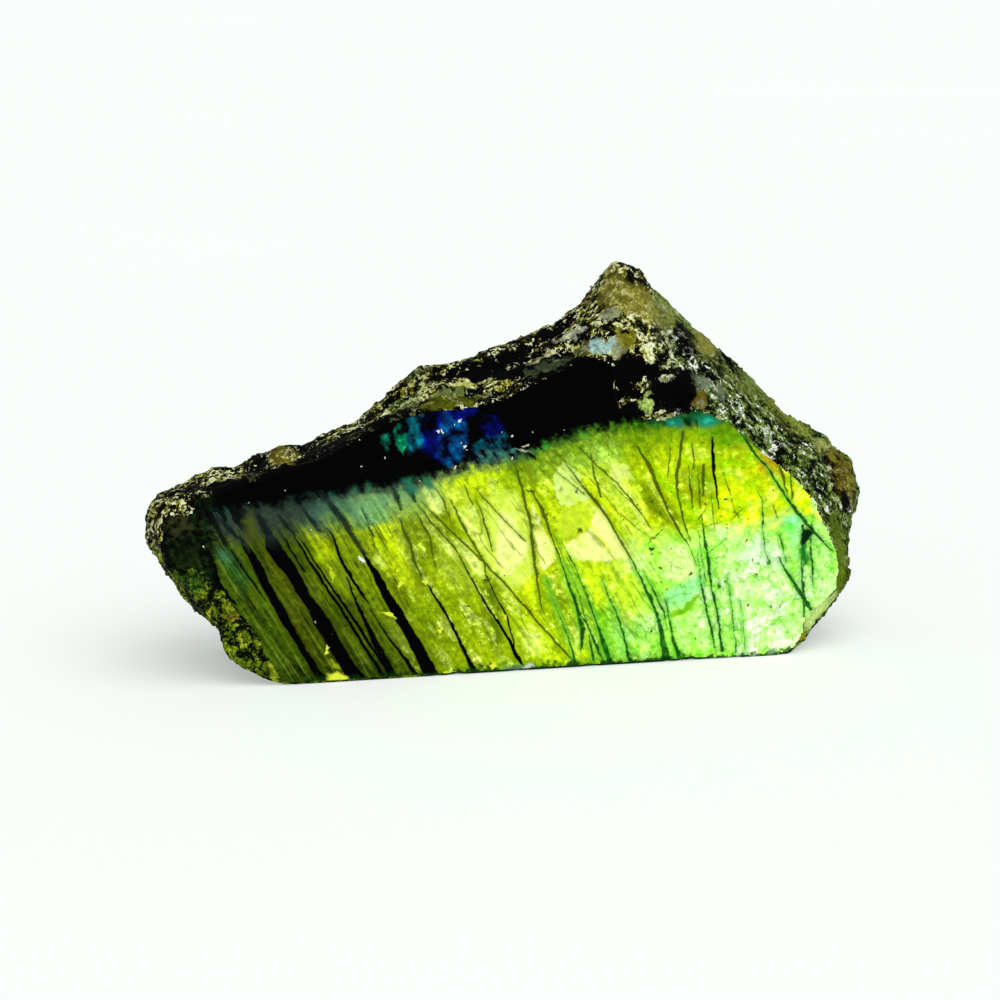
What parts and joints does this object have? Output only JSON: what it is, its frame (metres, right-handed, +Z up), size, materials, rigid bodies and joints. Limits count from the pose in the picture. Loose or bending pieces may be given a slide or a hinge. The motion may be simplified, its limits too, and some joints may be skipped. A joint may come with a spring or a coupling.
{
  "type": "labradorite slab",
  "caption": "Free-standing slab of labradorite, polished flat on its front, sawn flat behind and beneath, with rough natural rind along its ridge, peak and ends.",
  "frame": {"origin": "middle of the stone's box, on the flat sawn base that it stands on", "axes": "+Z up, +X to the right along the polished front face as seen from the front, +Y into the stone from the polished front face"},
  "size_m": [0.096, 0.02, 0.0514],
  "materials": {
    "labradorite": "polished green and gold flash on the front, rough brown-grey rind, matt sawn back"
  },
  "bodies": {
    "root": {"labradorite_slab": "labradorite"}
  },
  "joints": []
}
